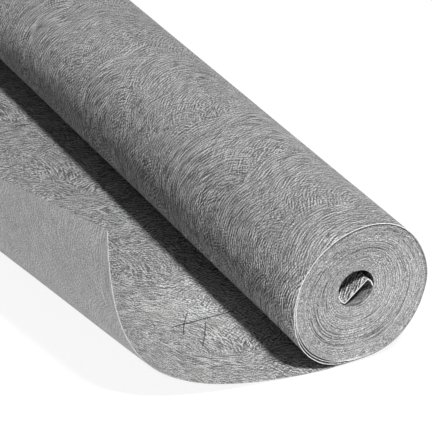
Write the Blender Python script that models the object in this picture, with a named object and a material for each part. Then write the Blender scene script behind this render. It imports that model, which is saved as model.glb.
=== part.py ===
# Coreless roll of nonwoven geotextile with its free end drawn out over the floor.
# The roll's axis lies along Y, the free sheet runs to -X and its end curls up.
# The origin is on the floor, under the middle of the roll's axis.
# All of it is one sheet, divided where the sheet bends or moves.

import math

import bmesh
import bpy
import numpy as np
from mathutils import Vector

# Driving dimensions, in metres and degrees
SHEET_WIDTH = 1.000            # the roll's length
SHEET_THICKNESS = 0.0005
ROLL_RADIUS = 0.050            # to the outside of the outermost turn
BORE_RADIUS = 0.0128           # no core tube, the sheet is wound on itself
BORE_SHIFT = (-0.0048, 0.0062) # how far the bore lies off the roll's axis, along X and Z
CUT_GAP = 0.0003               # clearance between neighbouring stretches

# The wound turns. Each modelled turn stands for three to four pressed layers.
TURN_COUNT = 22
LEAST_TURN_GAP = 0.00045
POINTS_PER_TURN = 24
WOUND_START_ANGLE = -4.0       # measured from the roll's bottom, towards +X and up
WOUND_END_ANGLE = 86.0         # where the last turn ends on the bore's right wall

# The outermost turn, which stands off the others at the lower left
OUTER_START_ANGLE = 9.0
OUTER_END_ANGLE = 354.0
OUTER_FACET_ANGLE = 5.0

# The inner end of the sheet, folded across the bore
TAIL_SLANT = 45.0              # of the stretch across the bore, above +X
TAIL_UPPER_REACH = 0.0094      # from the bore's middle to the fold at the upper right
TAIL_LOWER_REACH = 0.0114      # and to the fold at the lower left
TAIL_HOOK_ANGLE = 281.0        # where the hook's end touches the bore's left wall
TAIL_FOLD_RADIUS = 0.0009

# The free sheet
FREE_LENGTH = 0.256            # from under the roll's axis to the cut end
NIP_LENGTH = 0.0070            # how far it lies flat under the roll, past the axis
CURL_SLANT = 9.35              # between the curl's straight lines and the roll's axis
CURL_START = 0.009             # where the sheet starts to leave the floor
# Distance from the line under the axis, square to the curl's lines, and bend radius there
CURL_RADII = ((0.113, 0.162), (0.148, 0.067), (0.183, 0.087), (0.218, 0.215), (0.253, 0.286))
FLAP_STRIPS = 6
FACETS_PER_STRIP = 6

GREY = (0.33, 0.33, 0.33)

# Sizes that follow from those above
near_end = -SHEET_WIDTH / 2
axis_height = SHEET_THICKNESS + CUT_GAP + ROLL_RADIUS
slant = math.radians(CURL_SLANT)
wound_radius = ROLL_RADIUS - SHEET_THICKNESS - CUT_GAP
wound_turns = TURN_COUNT + (WOUND_END_ANGLE - WOUND_START_ANGLE) / 360
wound_wall = wound_radius - BORE_RADIUS
shift_per_turn = math.hypot(*BORE_SHIFT) / wound_turns
facet_factor = math.cos(math.pi / POINTS_PER_TURN)
turn_thickness = (((wound_wall / wound_turns - shift_per_turn) * facet_factor - LEAST_TURN_GAP)
                  / (1 + facet_factor / wound_turns))
turn_pitch = (wound_wall - turn_thickness) / wound_turns
curl_length = FREE_LENGTH * math.cos(slant)


def clear_scene():
    for old in list(bpy.data.objects):
        bpy.data.objects.remove(old, do_unlink=True)


def nonwoven(name, shade, roughness):
    # thermally bonded nonwoven, a dull grey with a faint sheen
    mat = bpy.data.materials.new(name)
    mat.use_nodes = True
    shader = mat.node_tree.nodes["Principled BSDF"]
    shader.inputs["Base Color"].default_value = (*[shade * level for level in GREY], 1.0)
    shader.inputs["Roughness"].default_value = roughness
    shader.inputs["Metallic"].default_value = 0.0
    return mat


def frame_point(name, place, parent=None):
    # an empty on a joint's axis
    empty = bpy.data.objects.new(name, None)
    empty.empty_display_size = ROLL_RADIUS / 5
    bpy.context.scene.collection.objects.link(empty)
    empty.parent = parent
    base = parent["world_place"] if parent else (0.0, 0.0, 0.0)
    empty.location = Vector(place) - Vector(base)
    empty["world_place"] = tuple(place)
    return empty


def sheet_object(name, bm, thickness, mat, parent):
    # a surface modelled in world places gets its thickness, half on each side
    base = Vector(parent["world_place"])
    bmesh.ops.translate(bm, verts=bm.verts, vec=-base)
    mesh = bpy.data.meshes.new(name)
    bm.to_mesh(mesh)
    bm.free()
    mesh.materials.append(mat)
    mesh.shade_smooth()
    mesh.set_sharp_from_angle(angle=math.radians(40))
    piece = bpy.data.objects.new(name, mesh)
    bpy.context.scene.collection.objects.link(piece)
    piece.parent = parent
    wall = piece.modifiers.new("thickness", "SOLIDIFY")
    wall.thickness = thickness
    wall.offset = 0.0
    wall.use_even_offset = True
    wall.use_rim = True
    return piece


def wound_surface(outline, fold_radius=0.0):
    # an open outline in the XZ plane drawn out over the sheet's width
    bm = bmesh.new()
    verts = [bm.verts.new((x, near_end, z)) for x, z in outline]
    for start, end in zip(verts, verts[1:]):
        bm.edges.new((start, end))
    if fold_radius:
        bmesh.ops.bevel(bm, geom=verts[1:-1], affect="VERTICES", offset=fold_radius,
                        offset_type="OFFSET", segments=3, profile=0.5, material=-1)
    drawn = bmesh.ops.extrude_edge_only(bm, edges=bm.edges[:])["geom"]
    moved = [item for item in drawn if isinstance(item, bmesh.types.BMVert)]
    bmesh.ops.translate(bm, verts=moved, vec=(0.0, SHEET_WIDTH, 0.0))
    bmesh.ops.recalc_face_normals(bm, faces=bm.faces)
    return bm


def polar(centre, radius, degrees):
    # angles run from the bottom towards +X and up, the way the sheet is wound inwards
    turn = math.radians(degrees)
    return centre[0] + radius * math.sin(turn), centre[1] - radius * math.cos(turn)


def winding_point(degrees):
    # the spiral's middle line, whose centre drifts from the roll's axis to the bore's
    done = (degrees - WOUND_START_ANGLE) / 360
    share = done / wound_turns
    centre = (share * BORE_SHIFT[0], axis_height + share * BORE_SHIFT[1])
    return polar(centre, wound_radius - turn_thickness / 2 - turn_pitch * done, degrees)


def winding_outline():
    step = 360 / POINTS_PER_TURN
    end = TURN_COUNT * 360 + WOUND_END_ANGLE
    inner = np.arange(math.floor(WOUND_START_ANGLE / step) + 1, math.ceil(end / step)) * step
    angles = [WOUND_START_ANGLE, *inner, end]
    points = [winding_point(angle) for angle in angles]
    report_least_gap(points[1:-1])
    return points


def report_least_gap(points):
    # each point against the two facets that lie one turn further in
    least = math.inf
    for number, point in enumerate(points[:-POINTS_PER_TURN - 1]):
        inside = [Vector(points[number + POINTS_PER_TURN + side]) for side in (-1, 0, 1)]
        for start, end in zip(inside, inside[1:]):
            run = end - start
            share = max(0.0, min(1.0, (Vector(point) - start).dot(run) / run.length_squared))
            least = min(least, (Vector(point) - start - share * run).length)
    print(f"least gap between turns {1000 * (least - turn_thickness):.3f} mm")


def tail_outline():
    # up from the last turn's end, folded back across the bore, then a hook on the left wall
    centre = (BORE_SHIFT[0], axis_height + BORE_SHIFT[1])
    start_radius = BORE_RADIUS + turn_thickness / 2
    cut = math.degrees((CUT_GAP + SHEET_THICKNESS) / start_radius)
    hook_radius = BORE_RADIUS - CUT_GAP - SHEET_THICKNESS / 2
    return [polar(centre, start_radius, WOUND_END_ANGLE + cut),
            polar(centre, TAIL_UPPER_REACH, 90 + TAIL_SLANT),
            polar(centre, TAIL_LOWER_REACH, 270 + TAIL_SLANT),
            polar(centre, hook_radius, TAIL_HOOK_ANGLE)]


def outer_turn_outline():
    count = round((OUTER_END_ANGLE - OUTER_START_ANGLE) / OUTER_FACET_ANGLE)
    angles = np.linspace(OUTER_START_ANGLE, OUTER_END_ANGLE, count + 1)
    middle = ROLL_RADIUS - SHEET_THICKNESS / 2
    return [polar((0.0, axis_height), middle, angle) for angle in angles]


def curl_table():
    # along the sheet, square to the curl's lines: distance, bend, reach and rise
    steps = 2000
    along = np.linspace(0.0, curl_length, steps + 1)
    stations = [CURL_START, *[distance for distance, radius in CURL_RADII]]
    curvature = [0.0, *[1 / radius for distance, radius in CURL_RADII]]
    bend_rate = np.interp(along, stations, curvature)
    step = along[1] - along[0]

    def summed(rate):
        return np.concatenate(([0.0], np.cumsum((rate[1:] + rate[:-1]) / 2 * step)))

    bend = summed(bend_rate)
    return along, bend, summed(np.cos(bend)), summed(np.sin(bend))


along_sheet, bend_there, reach_there, rise_there = curl_table()
full_bend = float(bend_there[-1])
facet_bend = full_bend / (FLAP_STRIPS * FACETS_PER_STRIP)
curl_out = Vector((-math.cos(slant), -math.sin(slant), 0.0))
curl_line = Vector((-math.sin(slant), math.cos(slant), 0.0))
sheet_corner = Vector((0.0, near_end, 0.0))


def distance_at_bend(bend):
    first = int(np.argmax(bend_there > 0)) - 1
    return float(np.interp(bend, bend_there[first:], along_sheet[first:]))


def hinge_distance(number):
    # each strip turns through the same share of the bend, half of one lies before the first
    return distance_at_bend((number - 0.5) * full_bend / FLAP_STRIPS)


def bent_place(flat):
    # a place on the flat sheet, moved to where the curled sheet has it
    distance = (flat - sheet_corner).dot(curl_out)
    sideways = (flat - sheet_corner).dot(curl_line)
    reach = distance if distance < 0 else float(np.interp(distance, along_sheet, reach_there))
    rise = float(np.interp(distance, along_sheet, rise_there))
    return (sheet_corner + reach * curl_out + sideways * curl_line
            + Vector((0.0, 0.0, rise + SHEET_THICKNESS / 2)))


def flat_sheet():
    # the free sheet before it is curled, one rectangle on the floor
    bm = bmesh.new()
    corners = [(NIP_LENGTH, near_end), (-FREE_LENGTH, near_end),
               (-FREE_LENGTH, -near_end), (NIP_LENGTH, -near_end)]
    face = bm.faces.new([bm.verts.new((x, y, 0.0)) for x, y in corners])
    face.normal_update()
    if face.normal.z < 0:
        face.normal_flip()
    return bm


def cut_along_line(bm, distance, drop=None):
    # a cut along one of the curl's straight lines
    bmesh.ops.bisect_plane(
        bm, geom=bm.verts[:] + bm.edges[:] + bm.faces[:], dist=1e-7,
        plane_co=sheet_corner + distance * curl_out, plane_no=curl_out,
        clear_inner=drop == "before", clear_outer=drop == "after")


def curled_strip(number):
    # strip 0 lies on the floor, the others follow up the curl
    bm = flat_sheet()
    first = max(0, FACETS_PER_STRIP * number - FACETS_PER_STRIP // 2)
    last = FACETS_PER_STRIP * number + FACETS_PER_STRIP // 2
    if number > 0:
        cut_along_line(bm, hinge_distance(number) + CUT_GAP / 2, "before")
    if number < FLAP_STRIPS:
        cut_along_line(bm, hinge_distance(number + 1) - CUT_GAP / 2, "after")
    for facet in range(first, last):
        if number == 0 or facet > first:
            cut_along_line(bm, distance_at_bend(facet * facet_bend))
    for vert in bm.verts:
        vert.co = bent_place(vert.co)
    return bm


def hinge_place(number):
    # halfway along the line where two strips meet, on the sheet's middle layer
    distance = hinge_distance(number)
    near = distance * math.tan(slant)
    far_at_cut_end = (FREE_LENGTH - distance * math.cos(slant)) / math.sin(slant)
    far_at_far_edge = (SHEET_WIDTH + distance * math.sin(slant)) / math.cos(slant)
    middle = (near + min(far_at_cut_end, far_at_far_edge)) / 2
    return bent_place(sheet_corner + distance * curl_out + middle * curl_line)


def build():
    clear_scene()
    floor_frame = frame_point("floor_frame", (0.0, 0.0, 0.0))
    axis_frame = frame_point("roll_travel", (0.0, 0.0, axis_height), floor_frame)
    roll_frame = frame_point("roll_axis", (0.0, 0.0, axis_height), axis_frame)

    sheet_object("floor_sheet", curled_strip(0), SHEET_THICKNESS,
                 nonwoven("floor_sheet", 1.0, 0.85), floor_frame)
    sheet_object("outer_turn", wound_surface(outer_turn_outline()), SHEET_THICKNESS,
                 nonwoven("outer_turn", 1.05, 0.8), axis_frame)
    sheet_object("wound_roll", wound_surface(winding_outline()), turn_thickness,
                 nonwoven("wound_roll", 1.15, 0.85), roll_frame)
    sheet_object("inner_tail", wound_surface(tail_outline(), TAIL_FOLD_RADIUS), SHEET_THICKNESS,
                 nonwoven("inner_tail", 1.1, 0.85), roll_frame)

    parent = floor_frame
    for number in range(1, FLAP_STRIPS + 1):
        place = hinge_place(number)
        hinge = frame_point(f"hinge_{number}", place, parent)
        sheet_object(f"flap_strip_{number}", curled_strip(number), SHEET_THICKNESS,
                     nonwoven(f"flap_strip_{number}", 1.0, 0.8), hinge)
        parent = hinge


build()
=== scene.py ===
# Coreless roll of grey nonwoven geotextile, with its free end drawn out and curling up.
# It is one sheet. Every piece starts as a flat grid and is moved to where the sheet lies.
# Each point keeps its place on the flat sheet, so the fibres run on from piece to piece.

import math

import bmesh
import bpy
import numpy as np
from mathutils import Matrix, Vector, noise


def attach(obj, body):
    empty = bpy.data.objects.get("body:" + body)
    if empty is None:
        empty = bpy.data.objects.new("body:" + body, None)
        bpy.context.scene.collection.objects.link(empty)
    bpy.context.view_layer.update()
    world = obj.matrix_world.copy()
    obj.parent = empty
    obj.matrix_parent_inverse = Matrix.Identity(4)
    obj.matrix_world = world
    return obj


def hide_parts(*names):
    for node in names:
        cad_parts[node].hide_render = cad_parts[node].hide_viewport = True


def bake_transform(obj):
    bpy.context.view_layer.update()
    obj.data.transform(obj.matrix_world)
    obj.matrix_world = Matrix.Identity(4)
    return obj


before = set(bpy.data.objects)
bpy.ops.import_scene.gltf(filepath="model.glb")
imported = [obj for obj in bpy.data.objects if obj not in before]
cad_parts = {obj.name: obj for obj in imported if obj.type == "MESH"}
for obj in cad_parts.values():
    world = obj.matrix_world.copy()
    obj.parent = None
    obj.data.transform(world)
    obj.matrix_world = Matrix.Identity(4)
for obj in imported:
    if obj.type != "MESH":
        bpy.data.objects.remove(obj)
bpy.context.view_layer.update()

# the sheet and the roll, as in the frame, with the curl refitted to the photo
sheet = {
    "width": 1.000,
    "thickness": 0.0005,
    "freeLength": 0.256,       # from under the roll's axis to the cut end
    "slant": math.radians(9.35),
    "curlStart": 0.0068,
    # distance square to the curl's lines, and the bend radius there
    "curlRadii": ((0.113, 0.1595), (0.148, 0.0698), (0.183, 0.0834), (0.218, 0.250),
                  (0.253, 0.200)),
    "curlPieces": 6,
    "curlSamples": 2001,
    "sharpAngle": math.radians(40),
}
roll = {
    "radius": 0.050,
    "cutGap": 0.0003,          # clearance between the sheet's stretches
    "boreRadius": 0.0128,
    "boreShift": (-0.0048, 0.0062),
}
nearEdge = -sheet["width"] / 2
halfThick = sheet["thickness"] / 2
axisHeight = sheet["thickness"] + roll["cutGap"] + roll["radius"]
woundRadius = roll["radius"] - sheet["thickness"] - roll["cutGap"]

# the curl rises along curlOut and bends about straight lines that run along curlLine
curlOut = Vector((-math.cos(sheet["slant"]), -math.sin(sheet["slant"]), 0.0))
curlLine = Vector((-math.sin(sheet["slant"]), math.cos(sheet["slant"]), 0.0))
sheetCorner = Vector((0.0, nearEdge, 0.0))
curlLength = sheet["freeLength"] * math.cos(sheet["slant"])


def summed(rate, step):
    return np.concatenate(([0.0], np.cumsum((rate[1:] + rate[:-1]) / 2 * step)))


alongSheet = np.linspace(0.0, curlLength, sheet["curlSamples"])
curlStep = alongSheet[1] - alongSheet[0]
stations = [sheet["curlStart"], *[distance for distance, radius in sheet["curlRadii"]]]
curvature = [0.0, *[1 / radius for distance, radius in sheet["curlRadii"]]]
bendThere = summed(np.interp(alongSheet, stations, curvature), curlStep)
reachThere = summed(np.cos(bendThere), curlStep)
riseThere = summed(np.sin(bendThere), curlStep)
fullBend = float(bendThere[-1])


def distanceAtBend(bend):
    first = int(np.argmax(bendThere > 0)) - 1
    return float(np.interp(bend, bendThere[first:], alongSheet[first:]))


def onCurl(flat):
    # distance square to the curl's lines and place along them, on the flat sheet
    return (flat - sheetCorner).dot(curlOut), (flat - sheetCorner).dot(curlLine)


def curlPlace(distance, sideways, lift):
    # where such a place lies once the sheet has curled
    reach = distance if distance < 0 else float(np.interp(distance, alongSheet, reachThere))
    rise = float(np.interp(distance, alongSheet, riseThere))
    bend = float(np.interp(distance, alongSheet, bendThere))
    up = Vector((0.0, 0.0, 1.0))
    face = math.cos(bend) * up - math.sin(bend) * curlOut
    return (sheetCorner + reach * curlOut + sideways * curlLine
            + (rise + halfThick) * up + lift * face)


def ramp(value, low, high):
    # 0 below low, 1 above high
    return min(1.0, max(0.0, (value - low) / (high - low)))


def ripple(flat, wave):
    # the sheet is never quite flat: slow swells, longer along the roll than across it
    length = wave["length"]
    place = Vector((flat.x / length, flat.y / (length * wave["stretch"]), wave["seed"]))
    return wave["height"] * noise.noise(place)


def flatGrid(lengthSteps, widthSteps):
    # a grid whose places are its step numbers, along the sheet and across it
    bm = bmesh.new()
    bmesh.ops.create_grid(bm, x_segments=lengthSteps, y_segments=widthSteps, size=0.5)
    bmesh.ops.translate(bm, verts=bm.verts, vec=(0.5, 0.5, 0.0))
    bmesh.ops.scale(bm, verts=bm.verts, vec=(lengthSteps, widthSteps, 1.0))
    return bm


def linked(name, data):
    thing = bpy.data.objects.new(name, data)
    bpy.context.scene.collection.objects.link(thing)
    return thing


def makeSheet(name, bm, materials, thick=None, most=sheet["thickness"]):
    # gives the surface its thickness, half on each side, and the cut edges their own finish
    mesh = bpy.data.meshes.new(name)
    bm.normal_update()
    bm.to_mesh(mesh)
    bm.free()
    piece = linked(name, mesh)
    for material in materials:
        mesh.materials.append(material)
    wall = piece.modifiers.new("thickness", "SOLIDIFY")
    wall.thickness = most
    wall.offset = 0.0
    wall.use_even_offset = True
    wall.material_offset = 1
    wall.material_offset_rim = 2
    if thick is not None:
        group = piece.vertex_groups.new(name="thickness")
        for number, share in enumerate(thick):
            group.add([number], share, "REPLACE")
        wall.vertex_group = group.name
    bpy.context.view_layer.update()
    solid = bpy.data.meshes.new_from_object(
        piece.evaluated_get(bpy.context.evaluated_depsgraph_get()))
    piece.modifiers.clear()
    piece.vertex_groups.clear()
    piece.data = solid
    bpy.data.meshes.remove(mesh)
    solid.name = name
    solid.shade_smooth()
    solid.set_sharp_from_angle(angle=sheet["sharpAngle"])
    return piece


toneCurve = {"darkest": 0.1, "power": 2.2}


class Wire:
    # one output of a node, with plain arithmetic on it
    def __init__(self, finish, socket):
        self.finish = finish
        self.socket = socket

    def math(self, operation, *others):
        return self.finish.add("Math", {"operation": operation}, dict(enumerate((self, *others))))

    def __add__(self, other):
        return self.math("ADD", other)

    def __sub__(self, other):
        return self.math("SUBTRACT", other)

    def __rsub__(self, other):
        return self.math("MULTIPLY_ADD", -1.0, other)

    def __mul__(self, other):
        return self.math("MULTIPLY", other)

    def __truediv__(self, other):
        return self.math("DIVIDE", other)

    def __pow__(self, other):
        return self.math("POWER", other)

    __radd__ = __add__
    __rmul__ = __mul__

    def rise(self, low, high):
        # 0 below low, 1 above high, smooth between them
        return self.finish.add("MapRange", {"interpolation_type": "SMOOTHSTEP"},
                               {"Value": self, "From Min": low, "From Max": high})

    def crisp(self, sharpness):
        # a noise around one half, spread to the range from -1 to 1
        return ((self - 0.5) * sharpness).math("TANH")

    def linear(self):
        # a tone as it looks, never quite black, made linear for the shader
        return self.math("MAXIMUM", toneCurve["darkest"]) ** toneCurve["power"]


class Finish:
    # the nodes of a material or of the world, all made by one method
    def __init__(self, owner):
        owner.use_nodes = True
        self.owner = owner
        self.tree = owner.node_tree

    def add(self, kind, settings, values, outputs=0):
        node = self.tree.nodes.new("ShaderNode" + kind)
        for key, value in settings.items():
            setattr(node, key, value)
        self.join(node, values)
        if isinstance(outputs, tuple):
            return [Wire(self, node.outputs[key]) for key in outputs]
        return Wire(self, node.outputs[outputs])

    def join(self, node, values):
        for key, value in values.items():
            if isinstance(value, Wire):
                self.tree.links.new(value.socket, node.inputs[key])
            else:
                node.inputs[key].default_value = value

    def shade(self, values):
        self.join(self.tree.nodes["Principled BSDF"], values)
        return self.owner

    def attribute(self, name, output="Vector"):
        return self.add("Attribute", {"attribute_name": name}, {}, output)

    def objectPlace(self):
        return self.add("TexCoord", {}, {}, "Object")

    def apart(self, vector):
        return self.add("SeparateXYZ", {}, {0: vector}, (0, 1, 2))

    def vector(self, x, y, z):
        return self.add("CombineXYZ", {}, {0: x, 1: y, 2: z})

    def scaled(self, place, size):
        return self.add("VectorMath", {"operation": "SCALE"}, {0: place, "Scale": 1 / size})

    def stretched(self, place, factors):
        return self.add("VectorMath", {"operation": "MULTIPLY"}, {0: place, 1: factors})

    def grey(self, value):
        return self.add("CombineColor", {}, {0: value, 1: value, 2: value})

    def noise(self, place, detail=0.0):
        return self.add("TexNoise", {}, {"Vector": place, "Scale": 1.0, "Detail": detail})

    def bump(self, height, distance):
        return self.add("Bump", {}, {"Strength": 1.0, "Distance": distance, "Height": height})


clothLook = {                  # for every side of the sheet that doesn't say otherwise
    "crispness": 7.0,
    "patches": 1.6,            # how much stronger the fibres stand out in some places
    "patchSize": 0.016,
    "patchDetail": 1.0,
    "patchesAt": (),
    "grainSize": 0.00085,
    "grainCrispness": 8.0,
    "cloudSize": 0.020,
    "cloudDetail": 3.0,
    "strongFrom": 0.0,
    "strongTo": 1.0,
    "strong": 0.0,
    "calmFrom": 0.0,
    "calmTo": -1.0,
    "calmShare": 1.0,
    "calmGrain": 1.0,
    "paintedLightTone": 1.0,
    "roughness": 0.82,
    "roughnessDrop": 0.10,
    "specular": 0.35,
    "sheen": 0.14,
    "sheenRoughness": 0.35,
}
# how fine and how long they are against the combed ones, and how far each cell's lie apart
looseFibres = {"period": 0.33, "length": 0.5, "apart": 40.0}
outerSide = {
    **clothLook,
    "grey": 0.293,
    "contrast": 0.335,
    "grain": 0.75,
    "clouds": 0.12,
    "relief": 0.00016,
    "strongFrom": 0.195,       # the fibres stand out more towards the roll's lower left
    "strongTo": 0.245,
    "strong": 0.65,
    "calmFrom": 0.05,          # the free end's outer side has calmer fibres, and a paler tone that is painted light
    "calmTo": -0.06,
    "calmShare": 0.32,
    "calmGrain": 0.60,
    # painted light: the free end's outer side is made paler, as if it were lit more
    "paintedLightTone": 1.165,
    "laying": {"jitter": 0.55, "lean": 0.020, "heading": 0.0, "swing": 0.30, "order": 0.58,
               "looseShare": 0.8, "fade": (0.35, 0.80), "fibrePeriod": 0.0020,
               "fibreLength": 0.0155, "seedShift": 0.6},
    # cell size, offset, distance to the arcs' middle, strength
    "families": ((0.075, (0.31, 0.12), 0.046, 1.0), (0.068, (0.81, 0.66), 0.040, 1.0),
                 (0.088, (0.05, 0.47), 0.055, 0.9)),
}
innerSide = {
    **clothLook,
    "grey": 0.322,
    "contrast": 0.36,
    "grain": 0.80,
    "clouds": 0.30,
    "relief": 0.00022,
    # paler places on the flat sheet, each with its size and strength
    "patchesAt": ((-0.056, -0.405, 0.055, 0.15), (-0.080, -0.470, 0.110, 0.06)),
    "laying": {"jitter": 0.90, "lean": 0.060, "heading": 0.45, "swing": 0.9, "order": 0.42,
               "looseShare": 0.9, "fade": (0.35, 0.85), "fibrePeriod": 0.0023,
               "fibreLength": 0.0105, "seedShift": 0.6},
    "families": ((0.050, (0.17, 0.52), 0.050, 1.0), (0.041, (0.63, 0.09), 0.036, 1.0),
                 (0.060, (0.40, 0.77), 0.044, 1.0)),
}
# the sheet's inner side within the roll, painted darker: painted shade in the bore and between the
# turns
shadedBoreSide = {**innerSide, "grey": 0.215, "contrast": 0.26, "clouds": 0.45, "patchesAt": ()}
darkFibres = {
    "fade": 0.03,              # share of its length where a fibre fades at each end
    "core": 0.2,               # share of its width that is fully dark
    # both ends on the flat sheet's inner side, the middle's bow, width, darkness
    "places": (
        ((-0.0908, -0.4261), (-0.0364, -0.4170), 0.0012, 0.00085, 0.95),
        ((-0.0683, -0.4092), (-0.0873, -0.4373), -0.0010, 0.00070, 0.82),
        ((-0.0629, -0.4231), (-0.0825, -0.4530), 0.0006, 0.00070, 0.78),
        ((-0.1003, -0.4157), (-0.1031, -0.4276), 0.0004, 0.00060, 0.66),
    ),
}


def swirl(finish, place, family):
    # fibres laid in arcs round a point beside each cell's middle, bulging along the heading
    size = family["cell"]
    spread = finish.add("VectorMath", {"operation": "MULTIPLY_ADD"},
                        {0: place, 1: (1 / size, 1 / size, 0.0), 2: family["offset"]})
    away, tint, middle = finish.add(
        "TexVoronoi", {"voronoi_dimensions": "2D", "feature": "F1"},
        {"Vector": spread, "Scale": 1.0, "Randomness": family["jitter"]},
        ("Distance", "Color", "Position"))
    local = finish.add("VectorMath", {"operation": "SUBTRACT"}, {0: spread, 1: middle})
    seed, lean, swing = finish.apart(tint)
    local = finish.add("VectorRotate", {"rotation_type": "Z_AXIS"},
                       {"Vector": local, "Angle": (swing - 0.5) * family["swing"]})
    x, y = finish.apart(local)[:2]
    sine, cosine = math.sin(family["heading"]), math.cos(family["heading"])
    across = x * (size * cosine) - y * (size * sine) + (lean - 0.5) * family["lean"]
    along = x * (size * sine) + y * (size * cosine) + family["reach"]
    radius = (across * across + along * along).math("SQRT")
    arc = across.math("ARCTAN2", along) * family["reach"] + seed * family["seedShift"]
    combedPlace = finish.vector(radius / (2 * family["fibrePeriod"]),
                                arc / family["fibreLength"], 0.0)
    combed = finish.add("TexGabor", {"gabor_type": "2D"},
                        {"Vector": combedPlace, "Scale": 1.0, "Frequency": 2.0,
                         "Anisotropy": family["order"], "Orientation": 0.0}, "Value")
    loosePlace = finish.vector(radius / (looseFibres["period"] * family["fibrePeriod"]),
                               arc / (looseFibres["length"] * family["fibreLength"]),
                               seed * looseFibres["apart"])
    loose = finish.noise(loosePlace)
    weight = 1 - away.rise(*family["fade"])
    return (combed - 0.5 + (loose - 0.5) * family["looseShare"]) * weight, weight


def swirls(finish, place, look):
    total, share = 0.0, 0.0001    # never quite nothing, because it divides
    for size, offset, reach, strength in look["families"]:
        family = {**look["laying"], "cell": size, "offset": (*offset, 0.0), "reach": reach}
        streaks, weight = swirl(finish, place, family)
        total = streaks * strength + total
        share = weight * weight * strength + share
    return (total / share.math("SQRT") * look["crispness"]).math("TANH")


def strand(x, y, fibre):
    # dark on a thin bowed line between two places of the flat sheet
    (startX, startY), (endX, endY), bow, width, strength = fibre
    fade = darkFibres["fade"]
    length = math.hypot(endX - startX, endY - startY)
    runX, runY = (endX - startX) / length, (endY - startY) / length
    along = ((x - startX) * runX + (y - startY) * runY) / length
    across = (y - startY) * runX - (x - startX) * runY - along * (1 - along) * (4 * bow)
    inside = along.rise(0.0, fade) * (1 - along.rise(1 - fade, 1.0))
    return (1 - across.math("ABSOLUTE").rise(darkFibres["core"] * width, width)) * inside * strength


def clothSide(name, look, strands=()):
    # one face of the bonded sheet
    finish = Finish(bpy.data.materials.new(name))
    place = finish.attribute("flatPlace")
    x, y = finish.apart(place)[:2]
    fibres = swirls(finish, place, look)
    grain = finish.noise(finish.scaled(place, look["grainSize"])).crisp(look["grainCrispness"])
    clouds = finish.noise(finish.scaled(place, look["cloudSize"]), look["cloudDetail"]) - 0.5
    patches = finish.noise(finish.scaled(place, look["patchSize"]), look["patchDetail"]) - 0.5
    offFreeEnd = x.rise(look["calmTo"], look["calmFrom"])
    # the free end gets calmer fibres and a paler tone; the paler tone is painted light
    calm, calmGrain, paintedLightTone = [look[key] + offFreeEnd * (1 - look[key])
                                 for key in ("calmShare", "calmGrain", "paintedLightTone")]
    texture = fibres * (1 + patches * look["patches"]) * calm + grain * calmGrain * look["grain"]
    texture = texture * (1 + x.rise(look["strongFrom"], look["strongTo"]) * look["strong"])
    tone = 1 + texture * look["contrast"] + clouds * look["clouds"]
    for patchX, patchY, size, strength in look["patchesAt"]:
        away = ((x - patchX) * (x - patchX) + (y - patchY) * (y - patchY)) / (size * size)
        tone = (1 - away.rise(0.0, 1.0)) * strength + tone
    tone = tone.linear()
    dark = 0.0
    for fibre in strands:
        dark = strand(x, y, fibre) + dark
    return finish.shade({
        "Base Color": finish.grey(tone * (1 - dark) * paintedLightTone * look["grey"]),
        "Roughness": look["roughness"] - texture * look["roughnessDrop"],
        "Normal": finish.bump(texture, look["relief"]),
        "Specular IOR Level": look["specular"],
        "Sheen Weight": look["sheen"],
        "Sheen Roughness": look["sheenRoughness"],
    })


edgeLook = {                   # what the cut edges share
    "ragSize": 0.0016,
    "ragDetail": 1.0,
    "ragCrispness": 6.0,
    "ragged": 0.18,
    "relief": 0.00006,
    "roughness": 0.85,
    "roughnessDrop": 0.1,
    "specular": 0.3,
}
sheetEdge = {
    **edgeLook,
    # painted highlight: the near cut edge is paler than the cloth and fades towards the roll; the
    # cut end keeps a grey near the cloth's
    "grey": 0.64,
    "endGrey": 0.30,           # along the sheet's cut end
    "end": (-0.2559, -0.2540),     # where the one turns into the other
    "highlightFades": (-0.190, -0.150),    # where the painted highlight fades towards the roll
    "highlightDrop": 0.55,
}
rollEdge = {
    **edgeLook,
    "grey": 0.36,
    "highlightGrey": 0.92,        # painted highlight: palest on the upper left half, where the edge catches the light
    "highlightSide": (-0.866, 0.500),
    "highlightRise": (-0.45, 0.0),
}


def cutEdge(name, look):
    # the sheet's own cut edge, a little ragged, with a painted highlight where its look gives one
    finish = Finish(bpy.data.materials.new(name))
    place = finish.objectPlace()
    grey = look["grey"]
    # the near cut edge's painted highlight, fading towards the roll and at the cut end
    if "endGrey" in look:
        along = finish.apart(finish.attribute("flatPlace"))[0]
        lit = along.rise(*look["end"]) * (1 - along.rise(*look["highlightFades"]) * look["highlightDrop"])
        grey = lit * (grey - look["endGrey"]) + look["endGrey"]
    # painted highlight on the outer turn's edge, palest on its upper left half
    if "highlightGrey" in look:
        x, y, z = finish.apart(place)
        towardsX, towardsZ = look["highlightSide"]
        side = (x * towardsX + (z - axisHeight) * towardsZ) / roll["radius"]
        grey = side.rise(*look["highlightRise"]) * (look["highlightGrey"] - grey) + grey
    rag = finish.noise(finish.scaled(place, look["ragSize"]), look["ragDetail"])
    rag = rag.crisp(look["ragCrispness"])
    return finish.shade({
        "Base Color": finish.grey((1 + rag * look["ragged"]) * grey),
        "Roughness": look["roughness"] - rag * look["roughnessDrop"],
        "Normal": finish.bump(rag, look["relief"]),
        "Specular IOR Level": look["specular"],
    })


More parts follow.
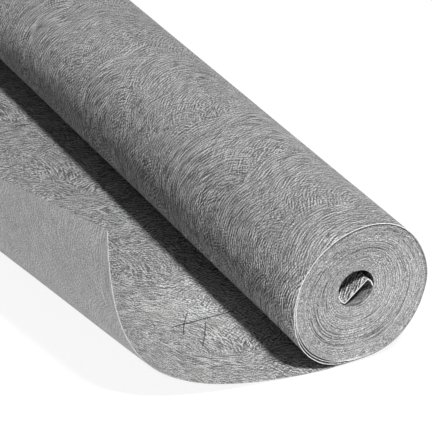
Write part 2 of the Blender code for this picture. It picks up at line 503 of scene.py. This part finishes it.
windingEdges = {
    "grey": 0.386,
    "lightSlope": (0.045, 0.045),                # painted light: paler towards the lower right
    # lattice across the turns and around, and its strength
    "layers": (((0.16, 1.2, 1.2), 0.03), ((1.0, 14.0, 14.0), 0.11)),
    "layerCrispness": 8.0,
    "rings": ((0.19, 2.6, 2.6), 0.30),
    "ringCrispness": 7.0,
    "calmTurns": (4.0, 24.0),               # the rings show less in the outer turns
    "calmShare": 0.35,
    "speckleSize": 0.00048,
    "speckleCrispness": 7.0,
    "speckle": 0.40,
    "relief": 0.00009,
    # painted shade in the gaps between the turns
    "gaps": (0.25, 1.0),
    "gapPaintedShade": 0.72,
    # the loose first turns at the lower left and the folded tail catch the light
    "paleGrey": 0.95,
    "paleTurns": (1.6, 2.3),
    "paleSide": (0.5, 1.1),
    "paleTail": (73.3, 73.6),
    "roughness": 0.88,
    "roughnessDrop": 0.08,
    "specular": 0.3,
}


def windingEnds(name, look):
    # the stacked cut edges on the end faces, each turn with its own tone
    finish = Finish(bpy.data.materials.new(name))
    ring = finish.attribute("ringPlace")
    turn, sine, cosine = finish.apart(ring)
    height = 0.0
    for factors, strength in look["layers"]:
        layer = finish.noise(finish.stretched(ring, factors)).crisp(look["layerCrispness"])
        height = layer * strength + height
    factors, strength = look["rings"]
    rings = finish.add("TexGabor", {"gabor_type": "3D"},
                       {"Vector": finish.stretched(ring, factors), "Scale": 1.0, "Frequency": 2.0,
                        "Anisotropy": 1.0, "Orientation 3D": (1.0, 0.0, 0.0)}, "Value")
    inner = turn.rise(*look["calmTurns"]) * (1 - look["calmShare"]) + look["calmShare"]
    height = rings.crisp(look["ringCrispness"]) * inner * strength + height
    speckle = finish.noise(finish.scaled(finish.objectPlace(), look["speckleSize"]))
    speckle = speckle.crisp(look["speckleCrispness"])
    # painted light: the end face is paler towards the lower right
    tone = sine * look["lightSlope"][0] + cosine * look["lightSlope"][1] + 1 + height
    tone = (speckle * look["speckle"] + tone).linear()
    # painted shade where the turns lie apart
    tone = tone * (1 - finish.attribute("gapShade", "Fac").rise(*look["gaps"]) * look["gapPaintedShade"])
    pale = ((1 - turn.rise(*look["paleTurns"])) * (cosine - sine).rise(*look["paleSide"])
            + turn.rise(*look["paleTail"]))
    return finish.shade({
        "Base Color": finish.grey(tone * look["grey"] * (1 - pale) + pale * look["paleGrey"]),
        "Roughness": look["roughness"] - speckle * look["roughnessDrop"],
        "Normal": finish.bump(height + speckle * look["speckle"], look["relief"]),
        "Specular IOR Level": look["specular"],
    })


smoothSide = clothSide("smooth_side", outerSide)
coreSide = clothSide("core_side", shadedBoreSide)
roughSide = clothSide("rough_side", innerSide, darkFibres["places"])
edgeFinish = cutEdge("cut_edge", sheetEdge)
rimFinish = cutEdge("outer_edge", rollEdge)
windingFinish = windingEnds("winding_edges", windingEdges)
sheetFinishes = (roughSide, smoothSide, edgeFinish)
print("materials made")


# how far the roll is out of round at each angle, in mm: at the end in view, behind it, far along
outOfRound = {
    "end": ((0, -1.75), (12, -1.60), (20, -0.60), (30, 0.10), (37, 0.60), (48, 0.25),
            (62, -0.35), (84, -1.00), (91, -0.20), (98, -0.50), (110, -0.65), (122, -1.00),
            (138, -0.15), (155, 0.90), (160, 0.70), (180, 0.60), (213, 0.20), (250, -0.50),
            (275, -1.00), (290, -0.95), (300, -0.50), (308, -0.20), (325, -0.15),
            (336, -0.40), (345, -0.75), (352, -1.45), (360, -1.75)),
    "near": ((0, -0.40), (90, -0.40), (120, -0.20), (140, 0.40), (155, 0.60), (180, 0.50),
             (213, 0.15), (250, -0.50), (275, -0.90), (290, -0.90), (308, -0.25),
             (325, -0.20), (340, -0.35), (360, -0.40)),
    "far": ((0, -0.30), (90, -0.50), (120, -0.60), (140, -0.45), (155, -0.20), (180, -0.10),
            (213, -0.10), (250, -0.60), (275, -1.10), (290, -1.20), (308, -0.95),
            (325, -0.80), (340, -0.50), (360, -0.30)),
    "endReach": 0.035,
    "nearReach": 0.16,
    "spread": 7.0,             # averaged over this angle to each side, so it has no corners
    "samples": 9,
    "turning": 36.0,           # past the end, the turns inside have room to turn this far
    "turningStep": 6.0,
}


def shapeOffset(side, degrees):
    angles = [angle for angle, offset in outOfRound[side]]
    offsets = [offset / 1000 for angle, offset in outOfRound[side]]
    spread = np.linspace(-outOfRound["spread"], outOfRound["spread"], outOfRound["samples"])
    return float(np.mean(np.interp((degrees + spread) % 360, angles, offsets)))


def clearOffset(side, degrees):
    turning = outOfRound["turning"]
    around = np.arange(degrees - turning, degrees + turning + 1, outOfRound["turningStep"])
    return min(shapeOffset(side, angle) for angle in around)


def endShare(y, reach):
    # 1 at the end in view, fading along the roll
    return math.exp(-(y - nearEdge) / reach)


def outlineOffset(degrees, y):
    end, near, far = [shapeOffset(side, degrees) for side in ("end", "near", "far")]
    return (far + (near - far) * endShare(y, outOfRound["nearReach"])
            + (end - near) * endShare(y, outOfRound["endReach"]))


def polar(centre, radius, degrees):
    # angles run from the bottom towards +X and up, the way the sheet is wound inwards
    turn = math.radians(degrees)
    return centre[0] + radius * math.sin(turn), centre[1] - radius * math.cos(turn)


freeSheet = {
    "nipEnd": 0.00785,         # where it leaves the floor sheet and becomes the outer turn
    "nipStart": -0.0101,
    "nipRadius": 0.1145,
    "firstLine": 0.060,        # the curl's first piece starts here, square to the curl's lines
    "lineStep": math.radians(0.75),
    "fewestLines": 6,
    "rowStep": 0.012,
    "overhang": (-0.02, 0.06),     # of a curl piece along its lines, before it is cut
    "rowShare": 1.1,
    "curlCuts": 12,
    "nipCuts": 13,
    "firstCut": -0.24,
    "wave": {"height": 0.0007, "length": 0.055, "stretch": 2.2, "seed": 3.7},
    "swellFrom": 0.035,        # swells grow from nothing beside the roll
    "swellFull": 0.095,
    "lift": 0.0006,
    "edgeLift": 0.0004,        # the near cut edge stands a little off the floor
    "edgeReach": 0.030,
    "joinFrom": -0.020,        # from here on it follows the roll's own outline
    "joinTo": -0.005,
    "joinAngle": 9.0,
}


def joinShare(flat):
    share = ramp(flat.x, freeSheet["joinFrom"], freeSheet["joinTo"])
    return share * share * (3 - 2 * share)


def liftAt(flat, distance):
    grown = ramp(distance, freeSheet["swellFrom"], freeSheet["swellFull"])
    edge = freeSheet["edgeLift"] * endShare(flat.y, freeSheet["edgeReach"]) * (1 - joinShare(flat))
    return edge + grown * (ripple(flat, freeSheet["wave"]) + freeSheet["lift"])


def nipPlace(x):
    # the sheet bends up under the roll, from lying flat to the roll's own outline
    turn = max(0.0, x - freeSheet["nipStart"]) / freeSheet["nipRadius"]
    return (min(x, freeSheet["nipStart"]) + freeSheet["nipRadius"] * math.sin(turn),
            freeSheet["nipRadius"] * (1 - math.cos(turn)))


def cutSheet(bm, place, direction, drop=False):
    bmesh.ops.bisect_plane(bm, geom=bm.verts[:] + bm.edges[:] + bm.faces[:], dist=1e-7,
                           plane_co=place, plane_no=direction, clear_outer=drop)


def flatArea(bm):
    return sum(face.calc_area() for face in bm.faces)


def curledStretch(first, last):
    # between two of the curl's lines, trimmed to the sheet's edges, then bent up
    turns = float(np.interp(last, alongSheet, bendThere) - np.interp(first, alongSheet, bendThere))
    lines = max(freeSheet["fewestLines"], math.ceil(turns / freeSheet["lineStep"]))
    rows = math.ceil(freeSheet["rowShare"] * sheet["width"] / freeSheet["rowStep"])
    bm = flatGrid(lines, rows)
    low = freeSheet["overhang"][0]
    high = sheet["width"] + freeSheet["overhang"][1]
    for vert in bm.verts:
        distance = first + (last - first) * vert.co.x / lines
        sideways = low + (high - low) * vert.co.y / rows
        vert.co = sheetCorner + distance * curlOut + sideways * curlLine
    bmesh.ops.reverse_faces(bm, faces=bm.faces)
    cutSheet(bm, (-sheet["freeLength"], 0.0, 0.0), (-1.0, 0.0, 0.0), drop=True)
    cutSheet(bm, (0.0, nearEdge, 0.0), (0.0, -1.0, 0.0), drop=True)
    cutSheet(bm, (0.0, -nearEdge, 0.0), (0.0, 1.0, 0.0), drop=True)
    area = flatArea(bm)
    flatPlace = bm.verts.layers.float_vector.new("flatPlace")
    sides = []
    for vert in bm.verts:
        flat = vert.co.copy()
        vert[flatPlace] = flat
        distance, sideways = onCurl(flat)
        sides.append(sideways)
        vert.co = curlPlace(distance, sideways, liftAt(flat, distance))
    return bm, area, max(sides) - min(sides)


def floorStretch():
    # from the curl's first line to where the sheet leaves the floor under the roll
    length = sheet["freeLength"] + freeSheet["nipEnd"]
    bm = bmesh.new()
    bmesh.ops.create_grid(bm, x_segments=1, y_segments=1, size=0.5)
    bmesh.ops.scale(bm, verts=bm.verts, vec=(length, sheet["width"], 1.0))
    bmesh.ops.translate(bm, verts=bm.verts, vec=(freeSheet["nipEnd"] - length / 2, 0.0, 0.0))
    cutSheet(bm, sheetCorner + freeSheet["firstLine"] * curlOut, curlOut, drop=True)
    curlCuts = np.linspace(sheet["curlStart"], freeSheet["firstLine"], freeSheet["curlCuts"])
    for distance in curlCuts[:-1]:
        cutSheet(bm, sheetCorner + float(distance) * curlOut, curlOut)
    nipCuts = np.linspace(freeSheet["nipStart"], freeSheet["nipEnd"], freeSheet["nipCuts"])
    floorCuts = np.arange(freeSheet["firstCut"], freeSheet["nipStart"], freeSheet["rowStep"])
    for x in [*nipCuts[:-1], *floorCuts]:
        cutSheet(bm, (float(x), 0.0, 0.0), (1.0, 0.0, 0.0))
    for y in np.arange(nearEdge + freeSheet["rowStep"], -nearEdge, freeSheet["rowStep"]):
        cutSheet(bm, (0.0, float(y), 0.0), (0.0, 1.0, 0.0))
    area = flatArea(bm)
    flatPlace = bm.verts.layers.float_vector.new("flatPlace")
    for vert in bm.verts:
        flat = vert.co.copy()
        vert[flatPlace] = flat
        distance, sideways = onCurl(flat)
        x, rise = nipPlace(flat.x)
        vert.co = curlPlace(distance, sideways, liftAt(flat, distance))
        vert.co += Vector((x - flat.x, 0.0, rise))
        outline = outlineOffset(freeSheet["joinAngle"], flat.y)
        shiftX, shiftZ = polar((0.0, 0.0), outline, freeSheet["joinAngle"])
        vert.co += joinShare(flat) * Vector((shiftX, 0.0, shiftZ))
    return bm, area


bm, area = floorStretch()
floorSheet = makeSheet("floorSheet", bm, sheetFinishes)
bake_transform(floorSheet)
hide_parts("floor_sheet")

pieces = sheet["curlPieces"]
curlLines = [freeSheet["firstLine"],
             *[distanceAtBend(number * fullBend / pieces) for number in range(1, pieces)],
             curlLength]
for number in range(1, pieces + 1):
    first, last = curlLines[number - 1], curlLines[number]
    bm, area, long = curledStretch(first, last)
    piece = makeSheet(f"flapCurl{number}", bm, sheetFinishes)
    curlPlace(first, 0.0, 0.0)
    curlPlace(last, 0.0, 0.0)
    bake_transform(piece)
    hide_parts(f"flap_strip_{number}")
    last - first
print("free sheet made")


outerTurnLook = {
    "startAngle": 9.0,
    "endAngle": 356.0,
    "angleStep": 3.0,
    "endRadius": 0.04955,
    "drawnFrom": 300.0,
    "calmAngles": (30.0, 20.0),    # free of ripples near the start and the end
    "bulgeAngles": (120.0, 175.0),
    "bulge": (-0.0001, 0.0002),
    "proud": 0.0007,           # how far its edge stands out at the near end
    "proudAngles": (9.0, 60.0, 140.0, 200.0),
    "proudShares": (0.0, 0.3, 0.3, 1.0),
    "lip": 0.0008,             # the near edge lifts off the turns below, most above
    "lipMiddle": 212.0,
    "lipSpan": 85.0,
    "lipReach": 0.045,
    "rowStep": 0.020,
    "edgeThickness": 0.00065,  # the cutter leaves the edge a little thicker
    "edgeDepth": 0.0012,
    "slippedThickness": 0.00042,
    "slippedAngles": (255.0, 290.0),
    "wave": {"height": 0.0002, "length": 0.040, "stretch": 2.0, "seed": 9.1},
}
outerAngle = outerTurnLook["endAngle"] - outerTurnLook["startAngle"]
outerRadius = roll["radius"] - halfThick
outerLength = outerRadius * math.radians(outerAngle)


def lipShare(degrees):
    past = min(1.0, abs(degrees - outerTurnLook["lipMiddle"]) / outerTurnLook["lipSpan"])
    return math.cos(past * math.pi / 2) ** 2


def outerTurnPiece():
    look = outerTurnLook
    steps = round(outerAngle / look["angleStep"])
    inside = np.arange(look["rowStep"], sheet["width"] - look["rowStep"] / 2, look["rowStep"])
    places = [0.0, look["edgeDepth"], *inside, sheet["width"] - look["edgeDepth"], sheet["width"]]
    centre = (0.0, axisHeight)
    shares = []
    bm = flatGrid(steps, len(places) - 1)
    flatPlace = bm.verts.layers.float_vector.new("flatPlace")
    for vert in bm.verts:
        row = round(vert.co.y)
        turned = outerAngle * vert.co.x / steps
        angle = look["startAngle"] + turned
        y = nearEdge + float(places[row])
        thickness = float(np.interp(angle, look["slippedAngles"],
                                    (look["edgeThickness"], look["slippedThickness"])))
        if row not in (0, len(places) - 1):
            thickness = min(thickness, sheet["thickness"])
        shares.append(thickness / look["edgeThickness"])
        flat = Vector((freeSheet["nipEnd"] + outerRadius * math.radians(turned), y, 0.0))
        vert[flatPlace] = flat
        drawn = ramp(angle, look["drawnFrom"], look["endAngle"])
        calm = min(1.0, turned / look["calmAngles"][0],
                   (outerAngle - turned) / look["calmAngles"][1])
        bulge = float(np.interp(angle, look["bulgeAngles"], look["bulge"]))
        lip = look["lip"] * endShare(y, look["lipReach"]) * lipShare(angle)
        radius = (outerRadius + (look["endRadius"] - outerRadius) * drawn * drawn
                  + calm * (ripple(flat, look["wave"]) + bulge + lip) + outlineOffset(angle, y))
        x, z = polar(centre, radius, angle)
        if row == 0:
            y -= look["proud"] * float(np.interp(angle, look["proudAngles"], look["proudShares"]))
        vert.co = (x, y, z)
    return bm, shares


bm, shares = outerTurnPiece()
outerTurn = makeSheet("outerTurn", bm, (roughSide, smoothSide, rimFinish), shares,
                      outerTurnLook["edgeThickness"])
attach(outerTurn, "outer_turn")
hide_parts("outer_turn")
print("outer turn made")


windingsLook = {
    "turns": 73,
    "pointsPerTurn": 60,
    "startAngle": 356.0,
    "endAngle": 86.0,
    "leastGap": 0.000025,
    "thinnest": 0.00018,
    "thickest": 0.00070,       # the tail's cut ends
    "pressed": 0.975,          # share of the space between its neighbours that a turn may fill
    "slack": 0.0005,           # gaps where the turns lie loose
    "slackFrom": 6.0,          # they grow wider between these two turns
    "slackFull": 22.0,
    "slackLeast": 0.2,
    "slackLevel": 0.18,
    "slackScales": (0.9, 1.1),     # of its noise, across the turns and around
    # the widest gaps: share of the roll's radius, angle, reach to each side, width
    "openings": ((0.692, 181, 26, 0.00036), (0.525, 72, 20, 0.00022), (0.640, 283, 24, 0.00026),
                 (0.500, 333, 26, 0.00026), (0.515, 272, 12, 0.00026), (0.730, 306, 18, 0.00024),
                 (0.680, 318, 20, 0.00022), (0.770, 242, 14, 0.00022), (0.380, 305, 20, 0.00024),
                 (0.600, 120, 26, 0.00018), (0.620, 20, 24, 0.00018), (0.430, 30, 30, 0.00020),
                 (0.345, 110, 24, 0.00024), (0.640, 176, 10, 0.00018), (0.970, 200, 22, 0.00024),
                 (0.965, 161, 8, 0.00026), (0.930, 156, 7, 0.00022), (0.573, 188, 15, 0.00028),
                 (0.480, 250, 26, 0.00020), (0.600, 255, 24, 0.00018), (0.370, 235, 24, 0.00018)),
    "openDark": 0.00028,       # a gap this wide gets the darkest painted shade
    # turn and angle, each with its reach, where nothing is loose
    "tight": (49.5, 4.0, 150.0, 45.0),
    # layers that have slipped loose at the lower left
    "looseFrom": 284.0,
    "looseTo": 350.0,
    "looseDepth": (-0.00010, 0.00005, 0.00115),    # after no turn, one and two
    "looseTurns": 2.2,
    "looseFade": 14,
    "looseThickness": 0.00034,
    # the turns' edges stand in and out, with slow and quick noise across and around them
    "edgeShift": 0.00045,
    "slowScales": (0.30, 0.8, 9.0),
    "edgeJitter": 0.00018,
    "quickScales": (1.0, 1.2, 5.0),
    "endReach": 0.012,
    "rows": (0.0, 0.0015, 0.005, 0.010, 0.016, 0.026, 0.050, 0.5, 0.9985, 1.0),
}
tailLook = {
    "path": ((0.0124, 0.0002), (0.0106, 0.0034), (0.0078, 0.0056), (-0.0070, -0.0093),
             (-0.0100, -0.0072), (-0.0121, -0.0036)),
    "foldRadius": 0.0011,
    "foldSteps": 6,
    "longestFold": 0.45,       # share of the shorter run beside it
    "thickness": 0.00045,
    "turn": 0.4,               # how much further in it counts, for its edges' finish
}


def roundedPath(points, radius, steps):
    # straight runs with an arc at each corner
    path = [points[0]]
    for before, corner, after in zip(points, points[1:], points[2:]):
        toBefore, toAfter = before - corner, after - corner
        half = toBefore.angle(toAfter) / 2
        longest = tailLook["longestFold"] * min(toBefore.length, toAfter.length)
        back = min(radius / math.tan(half), longest)
        size = back * math.tan(half)
        toBefore.normalize()
        toAfter.normalize()
        start, end = corner + back * toBefore, corner + back * toAfter
        centre = corner + (toBefore + toAfter).normalized() * (size / math.sin(half))
        for step in range(steps + 1):
            spoke = (start - centre).lerp(end - centre, step / steps)
            path.append(centre + spoke.normalized() * size)
    path.append(points[-1])
    return path


def slippedShare(angles):
    # 1 in the middle of the stretch that has slipped loose
    low, high = windingsLook["looseFrom"], windingsLook["looseTo"]
    past = (angles % 360 - (low + high) / 2) / ((high - low) / 2)
    return np.clip(1 - past ** 4, 0.0, 1.0)


def windingStations():
    # where the sheet's middle layer runs, seen along the roll's axis
    look = windingsLook
    total = look["turns"] * 360 + (look["endAngle"] - look["startAngle"]) % 360
    count = round(look["pointsPerTurn"] * total / 360) + 1
    angles = look["startAngle"] + np.linspace(0.0, total, count)
    done = (angles - angles[0]) / 360
    share = done / done[-1]
    outside = woundRadius - halfThick
    inside = roll["boreRadius"] + halfThick
    # the next layers take up the loose ones' slack
    depth = np.interp(done, [0.0, 1.0, 2.0, 2.0 + look["looseFade"]], [*look["looseDepth"], 0.0])
    degrees = np.arange(0, 361, 2.0)
    shape, clear = [np.interp(angles % 360, degrees, [offset(side, angle) for angle in degrees])
                    * (1 - share) for offset, side in ((shapeOffset, "end"), (clearOffset, "far"))]
    radius = outside + (inside - outside) * share - depth * slippedShare(angles) ** 2 + shape
    turn = np.radians(angles)
    outwards = np.stack([np.sin(turn), -np.cos(turn)], 1)
    centre = np.array([0.0, axisHeight]) + share[:, None] * np.array(roll["boreShift"])
    return angles, done, centre + radius[:, None] * outwards, (clear - shape)[:, None] * outwards


def ringNoise(turn, degrees, acrossTurns, around, shift=0.0):
    bearing = math.radians(degrees)
    return noise.noise(Vector((turn * acrossTurns, math.sin(bearing) * around,
                               math.cos(bearing) * around + shift)))


def windingThickness(angles, done, points):
    # as thick as the space between its neighbours leaves room for
    look = windingsLook
    stepsPerTurn = look["pointsPerTurn"]
    inward = np.linalg.norm(points[:-stepsPerTurn] - points[stepsPerTurn:], axis=1)
    room = np.minimum(np.concatenate([inward, inward[-1] * np.ones(stepsPerTurn)]),
                      np.concatenate([np.ones(stepsPerTurn), inward]))
    opened = np.zeros(len(points))
    for share, degrees, reach, width in look["openings"]:
        there = polar((0.0, axisHeight), share * roll["radius"], degrees)
        middle = np.argmin(np.linalg.norm(points - there, axis=1))
        opened += width * np.exp(-((angles - angles[middle]) / reach) ** 4)
    slipped = slippedShare(angles) * (done < look["looseTurns"])
    most = sheet["thickness"] + slipped * (look["looseThickness"] - sheet["thickness"])
    tightTurn, tightTurns, tightAngle, tightReach = look["tight"]
    tight = np.exp(-((done - tightTurn) / tightTurns) ** 2
                   - ((angles % 360 - tightAngle) / tightReach) ** 2)
    slack = np.interp(done, (look["slackFrom"], look["slackFull"]), (look["slackLeast"], 1.0))
    loose = np.array([ringNoise(turn, angle, *look["slackScales"])
                      for turn, angle in zip(done, angles)])
    gap = (look["leastGap"] + opened
           + look["slack"] * slack * (1 - tight) * np.maximum(0.0, loose - look["slackLevel"]))
    thick = np.maximum(look["thinnest"], np.minimum(most, room * look["pressed"] - gap))
    return list(thick), list(np.minimum(1.0, gap / look["openDark"]))


def windings():
    look = windingsLook
    angles, done, points, shifts = windingStations()
    thick, dark = windingThickness(angles, done, points)
    centre = Vector((roll["boreShift"][0], axisHeight + roll["boreShift"][1]))
    corners = [Vector(points[-1].tolist()), *[centre + Vector(spot) for spot in tailLook["path"]]]
    tail = roundedPath(corners, tailLook["foldRadius"], tailLook["foldSteps"])[1:]
    path = [*[Vector(point.tolist()) for point in points], *tail]
    shifts = [*[Vector(shift.tolist()) for shift in shifts], *[Vector((0.0, 0.0))] * len(tail)]
    angles = [*angles, *[angles[-1]] * len(tail)]
    done = [*done, *[done[-1] + tailLook["turn"]] * len(tail)]
    thick += [tailLook["thickness"]] * len(tail)
    dark += [0.0] * len(tail)
    along = [freeSheet["nipEnd"] + outerLength]
    for start, end in zip(path, path[1:]):
        along.append(along[-1] + (end - start).length)
    rows = look["rows"]
    bm = flatGrid(len(path) - 1, len(rows) - 1)
    flatPlace = bm.verts.layers.float_vector.new("flatPlace")
    ringPlace = bm.verts.layers.float_vector.new("ringPlace")
    gapShade = bm.verts.layers.float.new("gapShade")
    shares = []
    for vert in bm.verts:
        station, row = round(vert.co.x), round(vert.co.y)
        turn, angle = done[station], angles[station]
        y = nearEdge + sheet["width"] * rows[row]
        bearing = math.radians(angle)
        vert[flatPlace] = (along[station], y, 0.0)
        vert[ringPlace] = (turn, math.sin(bearing), math.cos(bearing))
        vert[gapShade] = dark[station]
        end = 1 if y > 0 else -1
        for height, (acrossTurns, around, apart) in ((look["edgeShift"], look["slowScales"]),
                                                     (look["edgeJitter"], look["quickScales"])):
            y += height * ringNoise(turn, angle, acrossTurns, around, apart * end)
        place = path[station] + shifts[station] * (1 - endShare(max(nearEdge, y), look["endReach"]))
        vert.co = (place.x, y, place.y)
        tailEnd = station > len(points) and row in (0, len(rows) - 1)
        shares.append((look["thickest"] if tailEnd else thick[station]) / look["thickest"])
    return bm, shares, along[-1] - along[0]


bm, shares, woundLength = windings()
woundTurns = makeSheet("woundTurns", bm, (coreSide, smoothSide, windingFinish), shares,
                       windingsLook["thickest"])
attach(woundTurns, "roll")
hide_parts("wound_roll", "inner_tail")
print(f"windings made, {woundLength:.2f} m of sheet")


studio = {
    "floorSize": 30.0,
    "floorGrey": 0.85,
    "shadowGrey": 0.16,        # how strongly the floor shows its shadows
    "floorGlow": 0.90,
    "worldStrength": 0.07,
    "keyFrom": (-0.121, -0.556, 0.822),
    "keyStrength": 3.15,
    "keyFar": 1.8,
    "keyAngle": 6.5,
    "lit": (0.0, -0.30, 0.05),
    # the two softer lamps: place, what it is turned to, power, size
    "fill": ((-1.9, -0.6, 0.18), (0.0, -0.2, 0.06), 11.0, 0.5),
    "side": ((1.6, -0.1, 0.32), (0.0, -0.1, 0.08), 6.5, 0.8),
}


def seenDirectly(finish):
    # 1 for rays of the camera and of reflections, which see white, 0 for rays that light
    seen, *others = finish.add("LightPath", {}, {},
                               ("Is Camera Ray", "Is Glossy Ray", "Is Transmission Ray"))
    for ray in others:
        seen = finish.add("Math", {"operation": "ADD", "use_clamp": True}, {0: seen, 1: ray})
    return seen


def greyColour(value):
    return (value, value, value, 1.0)


def addLamp(name, place, aim, power, size):
    lamp = bpy.data.lights.new(name, "AREA")
    lamp.energy = power
    lamp.shape = "DISK"
    lamp.size = size
    holder = linked(name, lamp)
    holder.location = place
    holder.rotation_euler = (Vector(place) - Vector(aim)).to_track_quat("Z", "Y").to_euler()


bm = bmesh.new()
bmesh.ops.create_grid(bm, x_segments=1, y_segments=1, size=studio["floorSize"] / 2)
mesh = bpy.data.meshes.new("studioFloor")
bm.to_mesh(mesh)
bm.free()
studioFloor = linked("studioFloor", mesh)
floor = Finish(bpy.data.materials.new("studio_floor"))
bounce = floor.add("BsdfDiffuse", {}, {"Color": greyColour(studio["floorGrey"])})
shadowed = floor.add("BsdfDiffuse", {}, {"Color": greyColour(studio["shadowGrey"])})
glow = floor.add("Emission", {}, {"Strength": studio["floorGlow"]})
shown = floor.add("AddShader", {}, {0: shadowed, 1: glow})
chosen = floor.add("MixShader", {}, {0: seenDirectly(floor), 1: bounce, 2: shown})
floor.join(floor.tree.nodes["Material Output"], {"Surface": chosen})
floor.tree.nodes.remove(floor.tree.nodes["Principled BSDF"])
mesh.materials.append(floor.owner)

bpy.context.scene.world = bpy.data.worlds.new("studio")
sky = Finish(bpy.context.scene.world)
strength = sky.add("MapRange", {}, {"Value": seenDirectly(sky), "To Min": studio["worldStrength"],
                                    "To Max": 1.0})
sky.join(sky.tree.nodes["Background"], {"Color": greyColour(1.0), "Strength": strength})

keyPlace = Vector(studio["lit"]) + studio["keyFar"] * Vector(studio["keyFrom"])
keyPower = studio["keyStrength"] * math.pi * studio["keyFar"] ** 2
keySize = 2 * studio["keyFar"] * math.tan(math.radians(studio["keyAngle"] / 2))
addLamp("key", keyPlace, studio["lit"], keyPower, keySize)
for name in ("fill", "side"):
    addLamp(name, *studio[name])

view = {
    "place": (-0.729626, -1.456628, 0.740356),
    "pan": -0.572125,
    "tilt": 0.493028,
    "lean": 0.113446,
    "lens": 185.15,
    "sensor": 36.0,
    "nearest": 0.05,
}
camera = bpy.data.cameras.new("camera")
camera.lens = view["lens"]
camera.sensor_width = view["sensor"]
camera.clip_start = view["nearest"]
cameraObject = linked("camera", camera)
turned = (Matrix.Rotation(view["pan"], 4, "Z")
          @ Matrix.Rotation(math.pi / 2 - view["tilt"], 4, "X")
          @ Matrix.Rotation(view["lean"], 4, "Z"))
cameraObject.matrix_world = Matrix.Translation(view["place"]) @ turned
bpy.context.scene.camera = cameraObject
bpy.context.scene.view_settings.view_transform = "Standard"
print("studio made")
